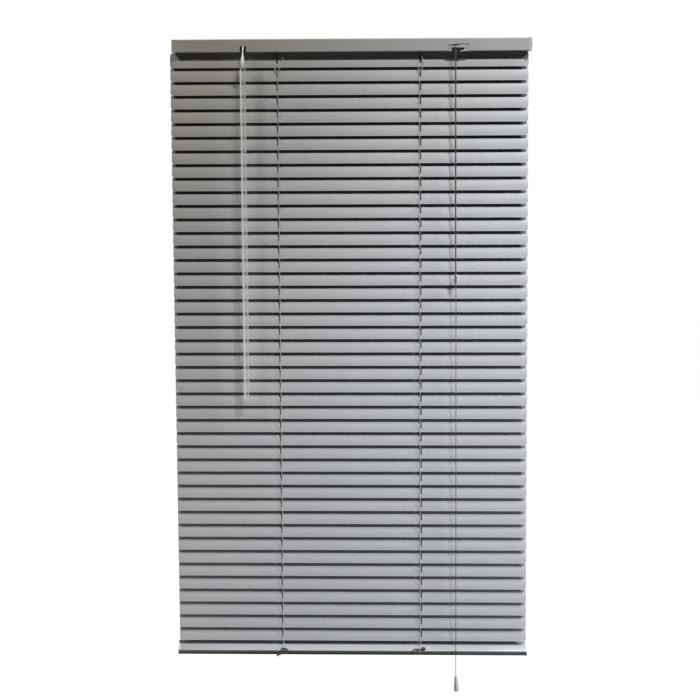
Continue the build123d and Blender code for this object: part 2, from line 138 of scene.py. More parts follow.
def painted_highlight_band(mat, axis, start, end, strength):
    """Paints a highlight into a material: lightens it along one edge of its object, from none at start to full at
    end of an axis.
    """
    nodes, links = mat.node_tree.nodes, mat.node_tree.links
    shader = nodes["Principled BSDF"]
    source = shader.inputs["Base Color"].links[0].from_socket
    coords = nodes.new("ShaderNodeTexCoord")
    split = nodes.new("ShaderNodeSeparateXYZ")
    spread = nodes.new("ShaderNodeMapRange")
    spread.inputs["From Min"].default_value = start
    spread.inputs["From Max"].default_value = end
    spread.inputs["To Min"].default_value = 1.0
    spread.inputs["To Max"].default_value = strength
    scale = nodes.new("ShaderNodeVectorMath")
    scale.operation = "SCALE"
    links.new(coords.outputs["Object"], split.inputs["Vector"])
    links.new(split.outputs[axis], spread.inputs["Value"])
    links.new(source, scale.inputs[0])
    links.new(spread.outputs["Result"], scale.inputs["Scale"])
    links.new(scale.outputs["Vector"], shader.inputs["Base Color"])


def clear_plastic(name, color, rough, body, edge):
    """Clear plastic that lets light straight through, milky by body face on and by edge at its sides."""
    mat = material(name, color, rough, tint=0.02, grain=150, bump=0.01)
    nodes, links = mat.node_tree.nodes, mat.node_tree.links
    through = nodes.new("ShaderNodeBsdfTransparent")
    facing = nodes.new("ShaderNodeLayerWeight")
    facing.inputs["Blend"].default_value = 0.35
    share = nodes.new("ShaderNodeMapRange")
    share.inputs["To Min"].default_value = body
    share.inputs["To Max"].default_value = edge
    mix = nodes.new("ShaderNodeMixShader")
    links.new(facing.outputs["Facing"], share.inputs["Value"])
    links.new(share.outputs["Result"], mix.inputs["Fac"])
    links.new(through.outputs["BSDF"], mix.inputs[1])
    links.new(nodes["Principled BSDF"].outputs["BSDF"], mix.inputs[2])
    links.new(mix.outputs["Shader"], nodes["Material Output"].inputs["Surface"])
    return mat


slat_paint = material(
    "slat_paint", (0.475, 0.475, 0.48), 0.5, metallic=0.25, tint=0.02, grain=90, stretch=(0.2, 1, 1)
)
# Painted highlight on each slat: lighter towards its lower front edge, and lighter again in a thin line along that
# edge.
painted_highlight_band(slat_paint, "Y", 0.009, -0.0105, 1.17)
painted_highlight_band(slat_paint, "Y", -0.0110, -0.0121, 1.22)
rail_paint = material(
    "rail_paint", (0.60, 0.595, 0.575), 0.5, metallic=0.15, tint=0.02, grain=60, stretch=(0.2, 1, 1)
)
# Painted highlight: the headrail is lighter along its lower edge.
painted_highlight_band(rail_paint, "Z", -0.0086, -0.0094, 1.12)
bottom_paint = material(
    "bottom_paint", (0.45, 0.46, 0.46), 0.42, metallic=0.2, tint=0.02, grain=60, stretch=(0.2, 1, 1)
)
cap_plastic = material("cap_plastic", (0.63, 0.63, 0.62), 0.45, tint=0.03, grain=300)
# Near-black plastic: painted shade filling the cord lock's mouth.
pit_plastic = material("pit_plastic", (0.006, 0.006, 0.006), 0.7, tint=0.1, grain=300)
nylon = material("nylon", (0.80, 0.80, 0.77), 0.5, tint=0.03, grain=200)
# Near-black plastic as painted shade: the tilter housing, for the shade inside its arch, and the dark lines at the
# cord lock.
dark_plastic = material("dark_plastic", (0.035, 0.035, 0.032), 0.5, tint=0.1, grain=300)
steel = material("steel", (0.62, 0.62, 0.62), 0.32, metallic=0.8, tint=0.05, grain=500, stretch=(0.1, 1, 1))
bright_steel = material("bright_steel", (0.85, 0.85, 0.84), 0.3, metallic=0.3, tint=0.04, grain=500)
lock_paint = material("lock_paint", (0.56, 0.55, 0.53), 0.4, metallic=0.2, tint=0.03, grain=200)
# The pull cord is painted dark grey: painted shade, as the real cord is light.
cord_weave = material("cord_weave", (0.09, 0.093, 0.093), 0.85, tint=0.18, grain=2600, bump=0.25)
ladder_weave = material("ladder_weave", (0.58, 0.59, 0.58), 0.85, tint=0.15, grain=2600, bump=0.25)
# The rungs and the lift cords are painted nearly black: painted shade behind the slots, as the real cord is light.
rung_weave = material("rung_weave", (0.035, 0.035, 0.035), 0.85, tint=0.2, grain=2600, bump=0.25)
# The knots under the bottom rail are painted nearly black: painted shade, as the real cord is light.
knot_weave = material("knot_weave", (0.05, 0.05, 0.045), 0.85, tint=0.25, grain=1800, bump=0.3)
cut_fibre = material("cut_fibre", (0.92, 0.92, 0.90), 0.8, tint=0.06, grain=2600, bump=0.25)
# White plastic that glows a little though it is no lamp: a painted highlight for the wand's bright strip and the
# hook cover.
glow_plastic = material("frosted_plastic", (0.93, 0.93, 0.91), 0.3, tint=0.02, grain=300)
glow = glow_plastic.node_tree.nodes["Principled BSDF"].inputs
glow["Emission Color"].default_value = (1.0, 1.0, 0.98, 1)
glow["Emission Strength"].default_value = 0.28
milky = material("milky_plastic", (0.50, 0.51, 0.51), 0.22, tint=0.03, grain=140, Coat_Weight=0.4)
clear = clear_plastic("clear_acrylic", (0.88, 0.89, 0.88), 0.08, 0.16, 0.5)
clear_sleeve = clear_plastic("clear_sleeve", (0.85, 0.86, 0.85), 0.08, 0.04, 0.32)
clear_edge = clear_plastic("clear_edge", (0.95, 0.95, 0.93), 0.2, 0.5, 0.8)


# ---------------------------------------------------------------- mesh helpers
def new_object(name, verts, faces, mat, smooth=True):
    """A mesh object in the scene, with one material."""
    mesh = bpy.data.meshes.new(name)
    mesh.from_pydata(verts, [], faces)
    mesh.materials.append(mat)
    mesh.polygons.foreach_set("use_smooth", [smooth] * len(faces))
    mesh.validate()
    obj = bpy.data.objects.new(name, mesh)
    bpy.context.scene.collection.objects.link(obj)
    return obj


def sharpen(obj, degrees=40):
    """Keeps edges crisp where two faces meet at more than this many degrees."""
    mesh = obj.data
    work = bmesh.new()
    work.from_mesh(mesh)
    for edge in work.edges:
        edge.smooth = not (len(edge.link_faces) == 2 and edge.calc_face_angle() > radians(degrees))
    work.to_mesh(mesh)
    work.free()


def tube_parts(points, radius, sides=8, offset=0):
    """Vertices and faces of a round tube along points."""
    points = [Vector(p) for p in points]
    verts, faces = [], []
    normal = None
    for i, point in enumerate(points):
        ahead = points[min(i + 1, len(points) - 1)] - points[max(i - 1, 0)]
        ahead.normalize()
        if normal is None:
            normal = ahead.orthogonal().normalized()
        normal = (normal - ahead * normal.dot(ahead)).normalized()
        side = ahead.cross(normal)
        for k in range(sides):
            turn = 2 * pi * k / sides
            verts.append(point + (normal * cos(turn) + side * sin(turn)) * radius)
    for i in range(len(points) - 1):
        for k in range(sides):
            a = offset + i * sides + k
            b = offset + i * sides + (k + 1) % sides
            faces.append((a, b, b + sides, a + sides))
    faces.append(tuple(offset + k for k in reversed(range(sides))))
    faces.append(tuple(offset + (len(points) - 1) * sides + k for k in range(sides)))
    return verts, faces


def tubes(name, routes, radius, mat, sides=8):
    """One object with a round tube along each route."""
    verts, faces = [], []
    for route in routes:
        more_verts, more_faces = tube_parts(route, radius, sides, len(verts))
        verts += more_verts
        faces += more_faces
    return new_object(name, verts, faces, mat)


def lathe(name, profile, mat, place, sides=32):
    """A turned piece: profile is a list of (radius, height) along local Z, and place puts it in the scene."""
    verts, faces = [], []
    for radius, height in profile:
        for k in range(sides):
            turn = 2 * pi * k / sides
            verts.append(place @ Vector((radius * cos(turn), radius * sin(turn), height)))
    for i in range(len(profile) - 1):
        for k in range(sides):
            a = i * sides + k
            b = i * sides + (k + 1) % sides
            faces.append((a, b, b + sides, a + sides))
    faces.append(tuple(reversed(range(sides))))
    faces.append(tuple((len(profile) - 1) * sides + k for k in range(sides)))
    obj = new_object(name, verts, faces, mat)
    sharpen(obj)
    return obj


# ---------------------------------------------------------------- slats
def slat_mesh():
    """One slat in its own plane: X along it, Y from its front edge to its rear edge, Z out of its crown."""
    across = [0.0, 0.0016, 0.0032, 0.0048, 0.0062, 0.0076, 0.009, 0.0104, 0.0116, 0.0122, 0.0125]
    knee = 3
    half = slat_half_length
    stations = set()
    for k in range(9):
        stations.add(half - SLAT_CORNER * (1 - sin(pi / 2 * k / 8)))
    stations |= {-s for s in stations}
    slots = []
    for x in ladder_x:
        centre = x - slat_x
        slots.append(centre)
        for k in range(9):
            stations.add(centre - SLOT_HALF_WIDTH * cos(pi * k / 8))
    for k in range(-12, 13):
        stations.add(k / 12 * (half - 0.006))
    stations = sorted(stations)
    keep = [stations[0]]
    for s in stations[1:]:
        if s - keep[-1] > 1e-5:
            keep.append(s)

    def reach(s):
        inside = half - abs(s)
        if inside >= SLAT_CORNER:
            return SLAT_HALF
        gap = SLAT_CORNER - inside
        return SLAT_HALF - SLAT_CORNER + sqrt(max(0.0, SLAT_CORNER**2 - gap**2))

    def slot_end(s):
        for centre in slots:
            d = abs(s - centre)
            if d <= SLOT_HALF_WIDTH + 1e-6:
                return SLOT_HALF_LENGTH - SLOT_HALF_WIDTH + sqrt(max(0.0, SLOT_HALF_WIDTH**2 - d**2))
        return across[knee]

    def in_slot(a, b):
        middle = (a + b) / 2
        return any(abs(middle - centre) < SLOT_HALF_WIDTH for centre in slots)

    points, index = [], {}
    for i, s in enumerate(keep):
        top, inner = reach(s), slot_end(s)
        for j in range(-len(across) + 1, len(across)):
            g = across[abs(j)]
            if abs(j) >= knee:
                share = (g - across[knee]) / (across[-1] - across[knee])
                t = inner + share * (top - inner)
            else:
                t = g
            t = t if j >= 0 else -t
            index[i, j] = len(points)
            points.append((s, t))
    cells = []
    for i in range(len(keep) - 1):
        hole = in_slot(keep[i], keep[i + 1])
        for j in range(-len(across) + 1, len(across) - 1):
            if hole and -knee <= j < knee:
                continue
            cells.append((index[i, j], index[i + 1, j], index[i + 1, j + 1], index[i, j + 1]))
    used = sorted({v for cell in cells for v in cell})
    renumber = {old: new for new, old in enumerate(used)}
    cells = [tuple(renumber[v] for v in cell) for cell in cells]
    flat = [points[v] for v in used]
    count = len(flat)
    verts = []
    for side in (1, -1):
        for s, t in flat:
            rise = SLAT_CROWN * (1 - (t / SLAT_HALF) ** 2)
            slope = -2 * SLAT_CROWN * t / SLAT_HALF**2
            normal = Vector((0, -slope, 1)).normalized()
            verts.append(Vector((s, t, rise)) + normal * side * SLAT_SHEET / 2)
    faces = list(cells) + [tuple(count + v for v in reversed(cell)) for cell in cells]
    edges = {}
    for cell in cells:
        for a, b in zip(cell, cell[1:] + cell[:1]):
            edges[(a, b)] = True
    for a, b in edges:
        if (b, a) not in edges:
            faces.append((b, a, count + a, count + b))
    return verts, faces


verts, faces = slat_mesh()
template = new_object("slat_template", verts, faces, slat_paint)
sharpen(template)
slat_data = template.data
bpy.data.objects.remove(template)
lean = Matrix.Rotation(CLOSED, 4, "X")
for name in slat_names:
    slat = bpy.data.objects.new(name + "_sheet", slat_data)
    bpy.context.scene.collection.objects.link(slat)
    slat.matrix_world = Matrix.Translation((slat_x, axis_y, axis_z[name])) @ lean
    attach(slat, name)
    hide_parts(name)

# ---------------------------------------------------------------- ladder rungs
rung_routes = []
for x in ladder_x:
    for step in (-1, 1):
        route = []
        for k in range(13):
            t = -1 + k / 6
            aside = step * RUNG_SPREAD * min(1.0, 3.0 * (1 - abs(t)))
            route.append((x - slat_x + aside, t * LADDER_RADIUS, -0.0004))
        rung_routes.append(route)
rungs = tubes("rung_template", rung_routes, RUNG_RADIUS, rung_weave, 6)
rung_data = rungs.data
bpy.data.objects.remove(rungs)
for name in slat_names:
    rung = bpy.data.objects.new(name + "_rungs", rung_data)
    bpy.context.scene.collection.objects.link(rung)
    rung.matrix_world = Matrix.Translation((slat_x, axis_y, axis_z[name])) @ lean
    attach(rung, name)

# ---------------------------------------------------------------- CAD pieces that are shown as they are
looks = {
    "headrail": rail_paint,
    "drum_cradles": nylon,
    # The tilter housing is painted near black for the shade inside its arch.
    "tilter_housing": dark_plastic,
    "rod_drums_and_gear": nylon,
    "tilt_rod": steel,
    "tilter_stem": steel,
    "cord_lock_frame": lock_paint,
    "cord_lock_roller": steel,
    "ladder_front_cords": ladder_weave,
    "ladder_rear_cords": ladder_weave,
    # The lift cords take the rungs' painted shade, so the slots look dark.
    "lift_cords": rung_weave,
    "wand_sleeve": clear_sleeve,
}
for name, mat in looks.items():
    node = frame["nodes"][name]
    node.data.materials.clear()
    node.data.materials.append(mat)


# ---------------------------------------------------------------- general shapes
def box_mesh(name, low, high, mat, bevel=0.0003):
    """A block with rounded edges."""
    work = bmesh.new()
    bmesh.ops.create_cube(work, size=1.0)
    size = Vector(high) - Vector(low)
    middle_point = (Vector(high) + Vector(low)) / 2
    for vert in work.verts:
        vert.co = Vector((vert.co.x * size.x, vert.co.y * size.y, vert.co.z * size.z)) + middle_point
    bmesh.ops.bevel(work, geom=list(work.edges), offset=bevel, segments=2, affect="EDGES")
    mesh = bpy.data.meshes.new(name)
    work.to_mesh(mesh)
    work.free()
    mesh.materials.append(mat)
    obj = bpy.data.objects.new(name, mesh)
    bpy.context.scene.collection.objects.link(obj)
    mesh.polygons.foreach_set("use_smooth", [True] * len(mesh.polygons))
    sharpen(obj, 35)
    return obj


def plate(name, outline, back, front, mat):
    """A flat piece that faces the room: outline is a list of (x, z), from y=front to y=back."""
    count = len(outline)
    verts = [(x, front, z) for x, z in outline] + [(x, back, z) for x, z in outline]
    faces = [tuple(range(count)), tuple(reversed(range(count, 2 * count)))]
    for k in range(count):
        after = (k + 1) % count
        faces.append((after, k, count + k, count + after))
    return new_object(name, verts, faces, mat, smooth=False)


def smooth_path(points, steps=6):
    """A curve through the points (Catmull-Rom)."""
    points = [Vector(p) for p in points]
    padded = [points[0]] + points + [points[-1]]
    route = []
    for i in range(len(points) - 1):
        a, b, c, d = padded[i : i + 4]
        for k in range(steps):
            t = k / steps
            square = (2 * a - 5 * b + 4 * c - d) * t * t
            cube = (3 * b - a - 3 * c + d) * t**3
            route.append(0.5 * (2 * b + (c - a) * t + square + cube))
    route.append(points[-1])
    return route


def on(obj, body, slot, *stands_for):
    """Rides a body and replaces any CAD nodes named; the slot argument is not used."""
    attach(obj, body)
    if stands_for:
        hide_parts(*stands_for)
    return obj


# ---------------------------------------------------------------- headrail end caps
low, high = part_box("headrail")
for side, name in ((-1, "end_cap_left"), (1, "end_cap_right")):
    outer = side * (high.x + 0.0002)
    inner = side * (high.x - 0.0046)
    cut = side * (high.x - 0.0014)
    rim = high.z + 0.0001
    outline = [(inner, rim), (outer, rim), (outer, -0.0096), (cut, -0.0124), (inner, -0.0124)]
    if side > 0:
        outline.reverse()
    cap = plate(name, outline, low.y + 0.0003, low.y - 0.0004, cap_plastic)
    on(cap, "headrail", "rail_metal")
    end = box_mesh(
        name + "_plate",
        (min(outer, side * high.x) - 0.0003, low.y - 0.0004, -0.0096),
        (max(outer, side * high.x) + 0.0003, high.y - 0.0002, high.z + 0.0001),
        cap_plastic,
    )
    on(end, "headrail", "rail_metal")
    screw = lathe(
        name + "_clip_screw",
        [(0.0001, 0.0), (0.0024, 0.0), (0.0022, 0.0009), (0.0011, 0.0013), (0.0001, 0.0013)],
        steel,
        Matrix.Translation((side * (high.x + 0.0004), axis_y, 0))
        @ Matrix.Rotation(side * pi / 2, 4, "Y"),
        20,
    )
    on(screw, "headrail", "rod_steel")

bead = [(low.x + 0.003, -0.0034, low.z - 0.0001), (high.x - 0.003, -0.0034, low.z - 0.0001)]
on(tubes("rail_floor_bead", [bead], 0.0011, rail_paint, 12), "headrail", "rail_metal")

# ---------------------------------------------------------------- ladders from the headrail to slat_01
pivot_front = (front_y, joints["ladder_front_level"]["pos_m"][2])
pivot_rear = (rear_y, joints["ladder_rear_level"]["pos_m"][2])
left, right = ladder_x
strands = {
    "ladder_left_inner": [
        (left + 0.0082, -0.0185, -0.0098),
        (left + 0.0088, -0.0178, -0.0165),
        (left + 0.0097, -0.0174, -0.0240),
        (left + 0.0078, -0.0171, -0.0310),
        (left + 0.0035, *pivot_front),
    ],
    "ladder_left_outer": [
        (left + 0.0018, -0.0120, -0.0098),
        (left + 0.0018, -0.0140, -0.0200),
        (left + 0.0016, -0.0158, -0.0306),
        (left - 0.0008, -0.0164, -0.0335),
        (left - 0.0040, *pivot_front),
    ],
    "ladder_right_inner": [
        (right + 0.0005, -0.0185, -0.0098),
        (right + 0.0014, -0.0178, -0.0160),
        (right + 0.0040, -0.0174, -0.0232),
        (right + 0.0048, -0.0171, -0.0300),
        (right + 0.0043, *pivot_front),
    ],
    "ladder_right_outer": [
        (right - 0.0052, -0.0120, -0.0098),
        (right - 0.0050, -0.0140, -0.0200),
        (right - 0.0042, -0.0158, -0.0284),
        (right - 0.0035, -0.0165, -0.0330),
        (right - 0.0028, *pivot_front),
    ],
}
for name, points in strands.items():
    strand = tubes(name, [smooth_path(points)], LADDER_STRAND_RADIUS, ladder_weave)
    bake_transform(strand)
legs = []
for x, spread in zip(front_x, ((left - 0.0040, left + 0.0035), (right - 0.0028, right + 0.0043))):
    for end_x in spread:
        legs.append(
            smooth_path([
                (end_x, *pivot_front),
                ((end_x + x) / 2, front_y - 0.0002, pivot_front[1] - 0.0022),
                (x, front_y, front_top - 0.0026),
            ])
        )
on(tubes("ladder_front_forks", legs, LADDER_STRAND_RADIUS, ladder_weave), "ladder_front", "cord_fibre")
for name, x in (("ladder_left_rear", left), ("ladder_right_rear", right)):
    points = [(x, -0.006, 0.001), (x, -0.0066, -0.004), (x, rear_y, pivot_rear[1])]
    strand = tubes(name, [smooth_path(points)], LADDER_CORD_RADIUS, ladder_weave)
    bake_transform(strand)
rear_links = [[(x, rear_y, pivot_rear[1]), (x, rear_y, rear_top - 0.001)] for x in ladder_x]
on(tubes("ladder_rear_tops", rear_links, LADDER_CORD_RADIUS, ladder_weave), "ladder_rear", "cord_fibre")

# ---------------------------------------------------------------- ladders at the bottom rail
rail_axis = joints["bottom_rail_tilt"]["pos_m"]
for name, side, y_top, z_top, xs in (
    ("ladder_front_ends", -1, front_y, front_bottom, front_x),
    ("ladder_rear_ends", 1, rear_y, rear_bottom, ladder_x),
):
    hem_y = axis_y + side * 0.0118
    hem_z = rail_axis[2] + side * 0.0055 - 0.002
    for end, x in zip(("_left", "_right"), xs):
        points = [
            (x, y_top, z_top + 0.001),
            (x, (y_top + hem_y) / 2, (z_top + hem_z) / 2 + 0.001),
            (x, hem_y, hem_z),
        ]
        tail = tubes(name + end, [smooth_path(points)], LADDER_CORD_RADIUS, ladder_weave)
        on(tail, "bottom_rail", "cord_fibre")
rail_low, rail_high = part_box("bottom_rail")
under = rail_low.z + 0.0030
rail_lean = Matrix.Rotation(BOTTOM_LEAN, 4, "X")


def bottom_bar(name, start, end, half_width, half_height, corner, mat):
    """A closed bar with a rounded section, between two x positions, leaning as the bottom rail does."""
    section = []
    for turn_start, u, v in ((0, 1, 1), (90, -1, 1), (180, -1, -1), (270, 1, -1)):
        for k in range(6):
            turn = radians(turn_start + 90 * k / 5)
            across = u * (half_width - corner) + corner * cos(turn)
            up = v * (half_height - corner) + corner * sin(turn)
            section.append((across, up))
    count = len(section)
    verts, faces = [], []
    between = [start + (end - start) * k / 8 for k in range(1, 8)] if end - start > 0.01 else []
    stations = [start, start + 0.0004, *between, end - 0.0004, end]
    for x in stations:
        shrink = 0.97 if x in (start, end) else 1.0
        for u, v in section:
            place = rail_lean @ Vector((0, u * shrink, v * shrink))
            verts.append((x, rail_axis[1] + place.y, rail_axis[2] + place.z))
    for i in range(len(stations) - 1):
        for k in range(count):
            a, b = i * count + k, i * count + (k + 1) % count
            faces.append((a, b, b + count, a + count))
    faces.append(tuple(reversed(range(count))))
    faces.append(tuple(range(len(verts) - count, len(verts))))
    bar = new_object(name, verts, faces, mat)
    sharpen(bar, 40)
    return bar


tube_start, tube_end = rail_low.x + 0.0028, rail_high.x - 0.0028
bar = bottom_bar("bottom_rail_tube", tube_start, tube_end, 0.0125, 0.0053, 0.0018, bottom_paint)
on(bar, "bottom_rail", "rail_metal", "bottom_rail")
for name, start, end in (
    ("bottom_cap_left", rail_low.x, rail_low.x + BOTTOM_CAP_LENGTH),
    ("bottom_cap_right", rail_high.x - BOTTOM_CAP_LENGTH, rail_high.x),
):
    on(bottom_bar(name, start, end, 0.0128, 0.0056, 0.0021, cap_plastic), "bottom_rail", "rail_metal")
knots = {
    "ladder_knot_left": (
        left,
        [(-0.0042, 0.0019), (-0.0018, 0.0062), (0.0020, 0.0070), (0.0066, 0.0052), (0.0090, 0.0026),
         (0.0078, -0.0002), (0.0036, -0.0010), (-0.0006, 0.0000), (0.0002, 0.0036), (0.0052, 0.0034)],
        [[(0.0010, 0.0006), (-0.0040, -0.0020), (-0.0075, -0.0036), (-0.0100, -0.0058)],
         [(-0.0002, 0.0020), (-0.0036, -0.0006), (-0.0064, -0.0018), (-0.0084, -0.0040)]],
    ),
    "ladder_knot_right": (
        right,
        [(-0.0148, 0.0006), (-0.0130, 0.0048), (-0.0084, 0.0062), (-0.0030, 0.0060), (0.0024, 0.0042),
         (0.0040, 0.0020), (0.0006, -0.0002), (-0.0050, 0.0000), (-0.0072, 0.0030), (-0.0040, 0.0052)],
        [[(-0.0132, 0.0004), (-0.0110, -0.0006), (-0.0060, -0.0012)],
         [(0.0000, 0.0080), (0.0040, 0.0092), (0.0058, 0.0066), (0.0030, 0.0050)]],
    ),
}
for name, (x, curl, tails) in knots.items():
    routes = []
    for line in (curl, *tails):
        points = [(x + dx, -0.0242 - max(0.0, 0.004 - dz) * 0.25, under + dz) for dx, dz in line]
        routes.append(smooth_path(points))
    on(tubes(name, routes, KNOT_RADIUS, knot_weave), "bottom_rail", "cord_fibre")
for name, x in (("rail_button_left", left), ("rail_button_right", right)):
    place = (
        Matrix.Translation((x, rail_axis[1], rail_axis[2]))
        @ rail_lean
        @ Matrix.Rotation(pi, 4, "X")
    )
    button = lathe(
        name,
        [(0.0001, 0.0045), (0.0036, 0.0045), (0.0036, 0.0053),
         (0.0055, 0.0054), (0.0052, 0.0061), (0.0001, 0.0063)],
        nylon,
        place,
        28,
    )
    on(button, "bottom_rail", "inner_plastic")

# ---------------------------------------------------------------- tilter, stem and wand
sleeve_low, sleeve_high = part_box("wand_sleeve")
wand_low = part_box("wand")[0]
tilter_x = (sleeve_low.x + sleeve_high.x) / 2
hang_front = (sleeve_low.y + sleeve_high.y) / 2
# The hook cover is a real white part inside the sleeve; its glow is a painted highlight.
core = lathe(
    "wand_hook_cover",
    [(0.0001, 0.0), (0.0009, 0.0001), (0.0015, 0.0014), (0.0021, 0.0032), (0.0024, 0.0060),
     (0.0024, 0.0118), (0.0014, 0.0138), (0.0001, 0.0141)],
    glow_plastic,
    Matrix.Translation((tilter_x, hang_front - 0.0005, -0.0158)) @ Matrix.Rotation(pi, 4, "X"),
    24,
)
on(core, "wand_sleeve", "clear_plastic")
rings = lathe(
    "wand_sleeve_lips",
    [(0.0026, 0.0), (0.0036, 0.0), (0.0037, 0.0005), (0.0035, 0.0010), (0.0027, 0.0010), (0.0026, 0.0)],
    clear_edge,
    Matrix.Translation((tilter_x, hang_front, sleeve_low.z + 0.0001)),
    24,
)
on(rings, "wand_sleeve", "clear_plastic")
wand_top, wand_bottom = sleeve_low.z - 0.006, wand_low.z + 0.0001
rod_radius = 0.0035 / cos(pi / 6)


def hex_rod(name, radius, mat):
    """The wand's six-sided rod, chamfered at both ends."""
    verts, faces = [], []
    levels = [wand_top + 0.0004, wand_top]
    levels += [wand_top + (wand_bottom - wand_top) * k / 12 for k in range(1, 12)]
    levels += [wand_bottom + 0.0006, wand_bottom]
    for z in levels:
        reach = radius * (0.82 if z in (levels[0], levels[-1]) else 1.0)
        for k in range(6):
            turn = radians(60 * k)
            verts.append((tilter_x + reach * cos(turn), hang_front + reach * sin(turn), z))
    for i in range(len(levels) - 1):
        for k in range(6):
            a, b = i * 6 + k, i * 6 + (k + 1) % 6
            faces.append((b, a, a + 6, b + 6))
    faces.append(tuple(range(6)))
    faces.append(tuple(reversed(range(len(verts) - 6, len(verts)))))
    return new_object(name, verts, faces, mat, smooth=False)


on(hex_rod("wand_rod", rod_radius, clear), "wand", "clear_plastic", "wand")


def wand_line(azimuth, share=0.985):
    """A line down the rod, at a turn about its axis from straight in front."""
    turn = radians(azimuth)
    x = tilter_x + rod_radius * share * sin(turn)
    y = hang_front - rod_radius * share * cos(turn)
    return [(x, y, wand_top), (x, y, (wand_top + wand_bottom) / 2), (x, y, wand_bottom)]


def rod_corner(degrees):
    """A point just outside the rod's corners, seen from above, at a turn about its axis."""
    reach = rod_radius * 1.03
    return Vector((tilter_x + reach * cos(radians(degrees)), hang_front + reach * sin(radians(degrees)), 0))


# A thin glowing strip on the rod's front-left facet: a painted highlight, not a real piece.
facet_a, facet_b = rod_corner(176), rod_corner(240)
facet_out = Vector((cos(radians(208)), sin(radians(208)), 0)) * 0.0002
ring = [facet_a, facet_b, facet_b + facet_out, facet_a + facet_out]
verts = [(point.x, point.y, z) for z in (wand_top, wand_bottom + 0.0008) for point in ring]
faces = [(k, (k + 1) % 4, 4 + (k + 1) % 4, 4 + k) for k in range(4)] + [(3, 2, 1, 0), (4, 5, 6, 7)]
on(new_object("wand_lit_facet", verts, faces, glow_plastic, smooth=False), "wand", "clear_plastic")
# Thin milky lines along two of the rod's corners: painted highlight streaks.
on(tubes("wand_edges", [wand_line(30), wand_line(90)], 0.0003, clear_edge, 10), "wand", "clear_plastic")
collar = lathe(
    "wand_collar",
    [(0.0022, -0.0375), (0.0040, -0.0372), (0.0044, -0.0355), (0.0046, -0.0340), (0.0044, -0.0325),
     (0.0036, -0.0313), (0.0026, -0.0311)],
    clear_edge,
    Matrix.Translation((tilter_x, hang_front, 0)),
    28,
)
on(collar, "wand", "clear_plastic")
pin_points = [
    (tilter_x - 0.0046, -0.0370, -0.0314),
    (tilter_x - 0.0027, -0.0383, -0.0325),
    (tilter_x + 0.0012, -0.0383, -0.0345),
    (tilter_x + 0.0030, -0.0376, -0.0353),
]
on(tubes("wand_pin", [pin_points], 0.0007, steel, 10), "wand", "stem_metal")
for name, place in (("wand_pin_head_left", pin_points[0]), ("wand_pin_head_right", pin_points[-1])):
    head = lathe(
        name,
        [(0.0001, 0.0), (0.0009, 0.0001), (0.0012, 0.0006), (0.0010, 0.0013), (0.0001, 0.0016)],
        bright_steel,
        Matrix.Translation(place) @ Matrix.Rotation(pi / 2, 4, "X"),
        16,
    )
    on(head, "wand", "stem_metal")
fork = []
for side in (-1, 1):
    fork.append(smooth_path([
        (tilter_x, hang_front - 0.0045, wand_top + 0.0022),
        (tilter_x + side * 0.0016, hang_front - 0.0046, wand_top),
        (tilter_x + side * 0.0029, hang_front - 0.0040, wand_top - 0.0026),
    ]))
on(tubes("wand_fork", fork, 0.0005, steel, 8), "wand", "stem_metal")
tip = Vector(joints["stem_spin"]["pos_m"])
along = Vector((0, sin(STEM_LEAN), cos(STEM_LEAN)))
across_x = Vector((1, 0, 0))
across_y = along.cross(across_x)
thread = []
for k in range(18 * THREAD_TURNS + 1):
    turn = 2 * pi * k / 18
    climb = THREAD_START + THREAD_LENGTH * k / (18 * THREAD_TURNS)
    thread.append(tip + along * climb + (across_x * cos(turn) + across_y * sin(turn)) * THREAD_RADIUS)
on(tubes("tilter_worm_thread", [thread], 0.00035, steel, 8), "tilter_stem", "stem_metal")

# ---------------------------------------------------------------- cord lock
low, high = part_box("cord_lock_frame")
roller_axis_z = sum(corner.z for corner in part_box("cord_lock_roller")) / 2
# A dark line along the top edge of the lock's face plate: a painted shadow.
edge_shadow_points = []
for k in range(25):
    share = k / 24
    lift = 0.0009 * sin(pi * min(1.0, share * 0.8)) + 0.0004 * share
    x = low.x + 0.0002 + (high.x - low.x - 0.0004) * share
    edge_shadow_points.append((x, low.y + 0.0004, roller_axis_z - 0.0016 + lift))
on(tubes("lock_seam", [edge_shadow_points], 0.0007, dark_plastic, 8), "headrail", "lock_metal")
inset = 0.0045
mouth = [
    [(low.x + inset, low.y + 0.0008, roller_axis_z - 0.0024), (low.x + inset, low.y + 0.0008, -0.0098)],
    [(high.x - inset, low.y + 0.0008, roller_axis_z - 0.0024), (high.x - inset, low.y + 0.0008, -0.0098)],
]
on(tubes("lock_mouth_shadow", mouth, 0.0006, dark_plastic, 8), "headrail", "lock_metal")
# A near-black block filling the lock's mouth: painted shade.
block = box_mesh(
    "lock_block",
    (low.x + inset + 0.0002, low.y - 0.0003, -0.0109),
    (high.x - inset - 0.0030, -0.0200, -0.0047),
    pit_plastic,
)
on(block, "headrail", "lock_metal")
lever = smooth_path([
    (high.x - 0.0074, -0.0262, -0.0082), (high.x - 0.0082, -0.0264, -0.0090),
    (high.x - 0.0112, -0.0265, -0.0102), (high.x - 0.0142, -0.0264, -0.0111),
])
on(tubes("lock_lever", [lever], 0.0009, bright_steel, 10), "headrail", "lock_metal")
roller_low, roller_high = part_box("cord_lock_roller")
roller_middle = (roller_low + roller_high) / 2
ridges = []
for k in range(16):
    turn = 2 * pi * k / 16
    y = roller_middle.y + 0.00252 * cos(turn)
    z = roller_middle.z + 0.00252 * sin(turn)
    ridges.append([(roller_middle.x - 0.0039, y, z), (roller_middle.x + 0.0039, y, z)])
on(tubes("lock_roller_ridges", ridges, 0.00016, steel, 6), "cord_lock_roller", "rod_steel")

